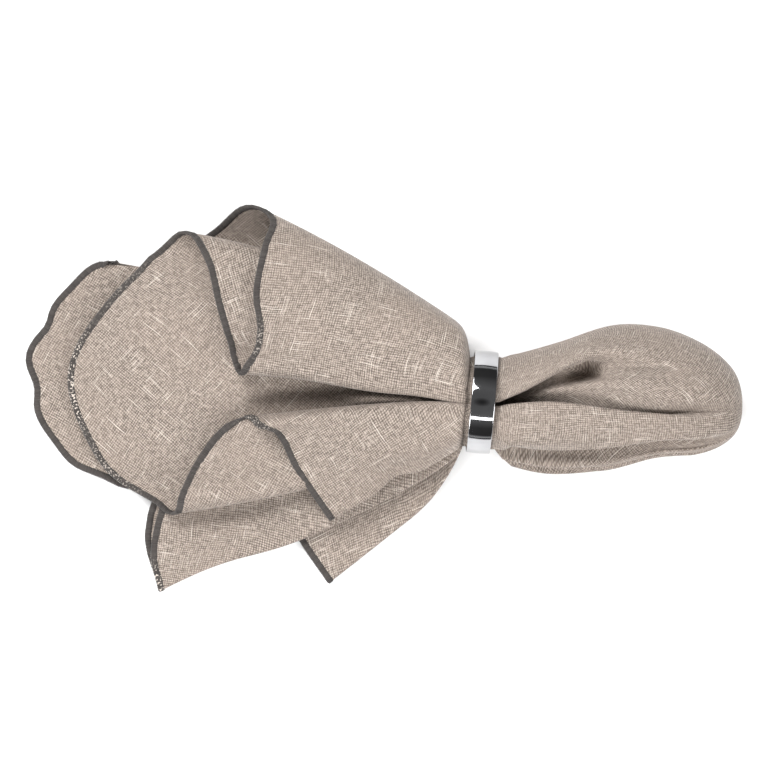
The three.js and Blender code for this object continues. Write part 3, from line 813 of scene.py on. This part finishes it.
def stitch_tree():
    """Threads set side by side along a line, a little uneven, each with its own shade."""
    tree = bpy.data.node_groups.new("overlock_hem", "GeometryNodeTree")
    inputs = {"Hem": "Geometry", "Thread": "Object", "Pitch": "Float", "Unevenness": "Float",
              "Slant": "Float", "Seed": "Int", "Material": "Material"}
    for name, kind in inputs.items():
        tree.interface.new_socket(name=name, in_out="INPUT", socket_type="NodeSocket" + kind)
    tree.interface.new_socket(name="Stitches", in_out="OUTPUT", socket_type="NodeSocketGeometry")
    given = tree.nodes.new("NodeGroupInput").outputs
    result = tree.nodes.new("NodeGroupOutput").inputs

    def node(kind, settings=(), inputs=()):
        return add_node(tree, kind, settings, inputs).outputs

    def named_vector(name):
        return node("GeometryNodeInputNamedAttribute", {"data_type": "FLOAT_VECTOR"}, {"Name": name})[0]

    def math_of(operation, first, second):
        return node("ShaderNodeMath", {"operation": operation}, {0: first, 1: second})[0]

    def random_between(low, high, draw):
        seed = math_of("ADD", given["Seed"], draw)
        return node("FunctionNodeRandomValue", {"data_type": "FLOAT"}, {2: low, 3: high, "Seed": seed})[1]

    line = node("GeometryNodeMeshToCurve", {}, {"Mesh": given["Hem"]})["Curve"]
    line = node("GeometryNodeResampleCurve", {"mode": "LENGTH"},
                {"Curve": line, "Length": given["Pitch"]})["Curve"]
    turn = node("FunctionNodeAxesToRotation", {"primary_axis": "Z", "secondary_axis": "X"},
                {"Primary Axis": named_vector("facing"), "Secondary Axis": named_vector("inward")})[0]
    shortest = math_of("SUBTRACT", 1.0, given["Unevenness"])
    longest = math_of("ADD", 1.0, given["Unevenness"])
    size = node("ShaderNodeCombineXYZ", {}, {"X": random_between(shortest, longest, 1),
                                             "Y": random_between(shortest, longest, 2), "Z": 1.0})[0]
    thread = node("GeometryNodeObjectInfo", {}, {"Object": given["Thread"]})["Geometry"]
    placed = node("GeometryNodeInstanceOnPoints", {},
                  {"Points": line, "Instance": thread, "Rotation": turn, "Scale": size})["Instances"]
    least_slant = math_of("MULTIPLY", given["Slant"], -1.0)
    slant = node("ShaderNodeCombineXYZ", {},
                 {"Z": random_between(least_slant, given["Slant"], 3)})[0]
    placed = node("GeometryNodeRotateInstances", {}, {"Instances": placed, "Rotation": slant})[0]
    placed = node("GeometryNodeStoreNamedAttribute", {"data_type": "FLOAT", "domain": "INSTANCE"},
                  {"Geometry": placed, "Name": "shade", "Value": random_between(0.0, 1.0, 4)})[0]
    real = node("GeometryNodeRealizeInstances", {}, {"Geometry": placed})[0]
    finished = node("GeometryNodeSetMaterial", {}, {"Geometry": real, "Material": given["Material"]})[0]
    tree.links.new(finished, result["Stitches"])
    return tree


def make_hem_stitches(grid, rows, normals, material):
    """The charcoal overlock stitches all round the hem."""
    piece = hem_line(grid, rows, normals)
    thread = make_stitch()
    tree = stitch_tree()
    modifier = piece.modifiers.new("overlock", "NODES")
    modifier.node_group = tree
    values = {"Thread": thread, "Pitch": HEM["stitch_pitch"] * MM, "Unevenness": HEM["unevenness"],
              "Slant": math.radians(HEM["slant_deg"]), "Seed": HEM["seed"], "Material": material}
    for item in tree.interface.items_tree:
        if item.name in values:
            modifier[item.identifier] = values[item.name]
    evaluated = piece.evaluated_get(bpy.context.evaluated_depsgraph_get())
    mesh = bpy.data.meshes.new_from_object(evaluated)
    piece.modifiers.remove(modifier)
    piece.data = mesh
    mesh.name = "hem_stitches"
    bpy.data.objects.remove(thread)
    places = np.empty(3 * len(mesh.vertices), dtype=np.float32)
    mesh.vertices.foreach_get("co", places)
    places[2::3] = np.maximum(places[2::3], 0)
    mesh.vertices.foreach_set("co", places)
    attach(piece, "root")
    return piece


# The ring

def ring_profile():
    """The band's closed section as places along its axis and radii, with round edges and a crown."""
    half, edge = RING["width"] / 2, RING["edge_radius"]
    outer, inner = RING["outer_radius"], RING["inner_radius"]
    rim = outer - RING["crown"]
    face = [(share * (half - edge), outer - RING["crown"] * share ** 2)
            for share in np.linspace(-1, 1, RING["across"])]
    corners = [(half - edge, rim - edge), (half - edge, inner + edge),
               (edge - half, inner + edge), (edge - half, rim - edge)]
    edges = []
    for quarter, (along, radius) in enumerate(corners):
        for step in range(RING["edge_steps"] + 1):
            angle = math.pi / 2 * (quarter + step / RING["edge_steps"])
            edges.append((along + edge * math.sin(angle), radius + edge * math.cos(angle)))
    return np.array(face + edges[1:-1])


def make_ring(material):
    """The band, turned a little on the table as the photo shows it."""
    profile = ring_profile()
    around = RING["around"]
    angles = 2 * math.pi * np.arange(around) / around
    along = np.broadcast_to(profile[None, :, 0], (around, len(profile)))
    radius = profile[None, :, 1]
    side = radius * np.cos(angles)[:, None]
    height = radius * np.sin(angles)[:, None] + AXIS_HEIGHT
    yaw = math.radians(RING["yaw_deg"])
    x = along * math.cos(yaw) - side * math.sin(yaw)
    y = along * math.sin(yaw) + side * math.cos(yaw)
    points = np.stack([x, y, height], axis=2).reshape(-1, 3)
    place = np.arange(around * len(profile)).reshape(around, len(profile))
    across = np.roll(place, -1, axis=1)
    faces = np.stack([place, across, np.roll(across, -1, axis=0), np.roll(place, -1, axis=0)], axis=-1)
    piece = add_piece("napkin_ring", points, faces.reshape(-1, 4).tolist(), material)
    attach(piece, "root")
    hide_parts("ring")
    return piece


# Materials

def srgb(red, green, blue):
    """A colour given as screen values from 0 to 255, as linear values."""
    def linear(value):
        value = value / 255
        return value / 12.92 if value <= 0.04045 else ((value + 0.055) / 1.055) ** 2.4
    return (linear(red), linear(green), linear(blue), 1.0)


# The weave, in millimetres of flat cloth: how its noises are scaled along and across a thread, and
# what share each part has in its depth
WEAVE = {
    "thread_pitch": 1.02,
    "sway": 3.0,
    "sway_scale": 0.03,
    "thread_scale": (0.32, 1.9),
    "slub_scale": (0.06, 3.0),
    "slub_limits": (0.755, 0.79),
    "cloud_scale": 0.03,
    "grain_scale": 2.1,
    "crossing_share": 0.6,
    "threads_share": 0.45,
    "grain_share": 0.55,
    "slub_share": 0.7,
}
LINEN_DARK = srgb(86, 77, 70)
LINEN_LIGHT = srgb(169, 157, 147)
LINEN_CLOUD = srgb(140, 126, 116)
LINEN_SLUB = srgb(216, 207, 196)
HEM_CLOTH = srgb(60, 55, 52)
THREAD_DARK = srgb(46, 42, 40)
THREAD_LIGHT = srgb(74, 69, 66)
THREAD_FLECK = srgb(196, 186, 176)
CHROME_DARK = (0.37, 0.37, 0.38, 1)
CHROME_LIGHT = (0.43, 0.43, 0.44, 1)
TABLE_DARK = (0.90, 0.90, 0.90, 1)
TABLE_LIGHT = (0.93, 0.93, 0.93, 1)


class Finish:
    """A material and short ways to add its nodes."""

    def __init__(self, name):
        self.material = bpy.data.materials.new(name)
        self.material.use_nodes = True
        self.tree = self.material.node_tree
        self.shader = self.tree.nodes["Principled BSDF"]

    def node(self, kind, settings=(), inputs=()):
        return add_node(self.tree, kind, settings, inputs)

    def surface(self, values):
        """Link or set the shader's own sockets."""
        for name, value in values.items():
            put(self.tree, self.shader.inputs[name], value)

    def math(self, operation, first, second=0.0):
        return self.node("ShaderNodeMath", {"operation": operation}, {0: first, 1: second}).outputs[0]

    def attribute(self, name):
        return self.node("ShaderNodeAttribute", {"attribute_name": name}).outputs["Fac"]

    def place(self):
        return self.node("ShaderNodeTexCoord").outputs["Object"]

    def weighted(self, *parts):
        """The sum of values, each times its weight."""
        total, *others = [self.math("MULTIPLY", value, weight) for value, weight in parts]
        for other in others:
            total = self.math("ADD", total, other)
        return total

    def stretched_noise(self, coordinates, scale, detail):
        """Noise on coordinates that are first scaled by scale, so that it runs in streaks."""
        placed = self.node("ShaderNodeMapping", {}, {"Vector": coordinates, "Scale": scale})
        noise = self.node("ShaderNodeTexNoise", {"noise_dimensions": "3D"},
                          {"Vector": placed.outputs[0], "Scale": 1.0, "Detail": detail})
        return noise.outputs["Fac"]

    def step(self, value, low, high, start=0.0, end=1.0):
        """A soft step from start to end as value goes from low to high."""
        made = self.node("ShaderNodeMapRange", {"interpolation_type": "SMOOTHSTEP"},
                         {"Value": value, "From Min": low, "From Max": high,
                          "To Min": start, "To Max": end})
        return made.outputs["Result"]

    def mix(self, share, first, second):
        made = self.node("ShaderNodeMix", {"data_type": "RGBA"}, {"Factor": share, 6: first, 7: second})
        return made.outputs[2]

    def bump(self, height, strength, distance):
        made = self.node("ShaderNodeBump", {}, {"Height": height, "Strength": strength,
                                                "Distance": distance})
        self.surface({"Normal": made.outputs[0]})


def linen_material():
    """Plain-weave linen with uneven threads and pale slubs, charcoal under the hem's stitches."""
    finish = Finish("taupe_linen")
    flat = finish.node("ShaderNodeUVMap", {"uv_map": "weave"}).outputs[0]
    wander = finish.node("ShaderNodeTexNoise", {"noise_dimensions": "2D"},
                         {"Vector": flat, "Scale": WEAVE["sway_scale"], "Detail": 2.0}).outputs["Color"]
    centred = finish.node("ShaderNodeVectorMath", {"operation": "SUBTRACT"},
                          {0: wander, 1: (0.5, 0.5, 0.5)})
    swayed = finish.node("ShaderNodeVectorMath", {"operation": "MULTIPLY_ADD"},
                         {0: centred.outputs[0], 1: (WEAVE["sway"], WEAVE["sway"], 0.0), 2: flat}).outputs[0]
    sides = finish.node("ShaderNodeSeparateXYZ", {}, {0: swayed})
    waves = [finish.math("SINE", finish.math("MULTIPLY", sides.outputs[k], math.pi / WEAVE["thread_pitch"]))
             for k in (0, 1)]
    crossing = finish.math("ABSOLUTE", finish.math("MULTIPLY", waves[0], waves[1]))

    def both_ways(scale, detail):
        """Noise drawn out along the warp, and the same along the weft."""
        along, across = scale
        return [finish.stretched_noise(swayed, sides, detail)
                for sides in ((along, across, 1.0), (across, along, 1.0))]

    warp, weft = both_ways(WEAVE["thread_scale"], 1.0)
    slubs = [finish.step(noise, *WEAVE["slub_limits"]) for noise in both_ways(WEAVE["slub_scale"], 0.0)]
    slub = finish.math("MAXIMUM", *slubs)
    threads = finish.weighted((warp, 0.5), (weft, 0.5))
    cloud = finish.stretched_noise(flat, [WEAVE["cloud_scale"]] * 3, 3.0)
    grain = finish.stretched_noise(flat, [WEAVE["grain_scale"]] * 3, 0.0)

    depth = finish.weighted((crossing, WEAVE["crossing_share"]),
                            (finish.step(threads, 0.36, 0.64), WEAVE["threads_share"]),
                            (grain, WEAVE["grain_share"]))
    tone = finish.mix(finish.step(depth, 0.34, 1.29), LINEN_DARK, LINEN_LIGHT)
    tone = finish.mix(finish.step(cloud, 0.35, 0.68, 0.0, 0.22), tone, LINEN_CLOUD)
    tone = finish.mix(finish.math("MULTIPLY", slub, WEAVE["slub_share"]), tone, LINEN_SLUB)

    gap = finish.attribute("hem_gap")
    ragged = finish.weighted((gap, 1.0), (grain, 0.5))
    hem = finish.step(ragged, HEM["width"] - 0.3, HEM["width"] + 0.1, 1.0, 0.0)
    finish.surface({"Base Color": finish.mix(hem, tone, HEM_CLOTH),
                    "Roughness": finish.step(threads, 0.3, 0.7, 0.78, 0.95),
                    "Specular IOR Level": 0.25, "Sheen Weight": 0.12, "Sheen Roughness": 0.45})
    raised = finish.weighted((depth, 1.0), (slub, 0.5))
    finish.bump(raised, 0.4, 0.2 * MM)
    return finish.material


def thread_material():
    """Charcoal overlock thread, each stitch a little lighter or darker, with pale flecks where worn."""
    finish = Finish("charcoal_thread")
    place = finish.place()
    shade = finish.attribute("shade")
    worn = finish.attribute("worn")
    fibre = finish.stretched_noise(place, (2600.0, 2600.0, 2600.0), 2.0)
    fleck = finish.step(finish.stretched_noise(place, (1300.0, 1300.0, 1300.0), 0.0), 0.58, 0.66)
    lightness = finish.weighted((shade, 0.5), (fibre, 0.5))
    tone = finish.mix(lightness, THREAD_DARK, THREAD_LIGHT)
    tone = finish.mix(finish.math("MULTIPLY", fleck, worn), tone, THREAD_FLECK)
    finish.surface({"Base Color": tone, "Roughness": finish.step(fibre, 0.3, 0.7, 0.66, 0.88),
                    "Specular IOR Level": 0.3, "Sheen Weight": 0.1})
    finish.bump(fibre, 0.4, 0.1 * MM)
    return finish.material


def chrome_material():
    """Polished plate with faint turning marks round the band and a few dull smears."""
    finish = Finish("polished_chrome")
    place = finish.place()
    turning = finish.stretched_noise(place, (2400.0, 60.0, 60.0), 3.0)
    smear = finish.stretched_noise(place, (90.0, 90.0, 90.0), 2.0)
    dull = finish.weighted((turning, 0.5), (smear, 0.5))
    finish.surface({"Base Color": finish.mix(finish.step(smear, 0.35, 0.7), CHROME_DARK, CHROME_LIGHT),
                    "Metallic": 1, "Roughness": finish.step(dull, 0.35, 0.68, 0.03, 0.10)})
    finish.bump(turning, 0.05, 0.02 * MM)
    return finish.material


def table_material():
    """A matt white table with the faintest mottle."""
    finish = Finish("white_table")
    place = finish.place()
    mottle = finish.stretched_noise(place, (9.0, 9.0, 9.0), 3.0)
    finish.surface({"Base Color": finish.mix(mottle, TABLE_DARK, TABLE_LIGHT), "Roughness": 0.8})
    return finish.material


# Stage

def make_table():
    half = TABLE_HALF
    corners = [(-half, -half), (half, -half), (half, half), (-half, half)]
    mesh = bpy.data.meshes.new("table")
    mesh.from_pydata(to_frame([(x, y, TABLE_HEIGHT) for x, y in corners]), [], [(0, 1, 2, 3)])
    mesh.materials.append(table_material())
    add_object("table", mesh)


def add_softbox(name, place, size, power):
    """A rectangular light that faces the ring from place, in millimetres."""
    light = bpy.data.lights.new(name, "AREA")
    light.shape = "RECTANGLE"
    light.size, light.size_y = (side * MM for side in size)
    light.energy = power
    lamp = add_object(name, light)
    lamp.location = to_frame(place)
    target = to_frame((PHOTO_CENTRE[0], 0, 0))
    direction = lamp.location - type(lamp.location)(target)
    lamp.rotation_euler = direction.to_track_quat("Z", "Y").to_euler()


def make_studio():
    """A dim room with a pale wall all round, and soft boxes."""
    world = bpy.data.worlds.new("studio")
    bpy.context.scene.world = world
    world.use_nodes = True
    tree = world.node_tree
    direction = tree.nodes.new("ShaderNodeTexCoord").outputs["Generated"]
    height = tree.nodes.new("ShaderNodeSeparateXYZ")
    tree.links.new(direction, height.inputs[0])
    wall = tree.nodes.new("ShaderNodeValToRGB")
    stops = wall.color_ramp.elements
    for place, _ in ROOM_LIGHT[1:-1]:
        stops.new(place)
    for stop, (place, strength) in zip(stops, ROOM_LIGHT):
        stop.position = place
        stop.color = (strength, strength, strength, 1)
    tree.links.new(height.outputs["Z"], wall.inputs["Fac"])
    tree.links.new(wall.outputs["Color"], tree.nodes["Background"].inputs["Strength"])
    tree.nodes["Background"].inputs["Color"].default_value = (1, 1, 1, 1)
    for row in SOFTBOXES:
        add_softbox(*row)
    bpy.context.scene.view_settings.view_transform = "Standard"


def make_camera():
    """Straight above, with a long lens, as the photo was taken."""
    data = bpy.data.cameras.new("camera")
    data.lens = LENS
    data.sensor_width = SENSOR
    camera = add_object("camera", data)
    distance = PHOTO_FRAME * LENS / SENSOR
    x, y, z = PHOTO_CENTRE
    camera.location = to_frame((x, y, z + distance))
    bpy.context.scene.camera = camera


make_camera()
make_studio()
make_table()
napkin, cloth, cloth_rows, cloth_normals = make_napkin(linen_material())
stitches = make_hem_stitches(cloth, cloth_rows, cloth_normals, thread_material())
make_ring(chrome_material())
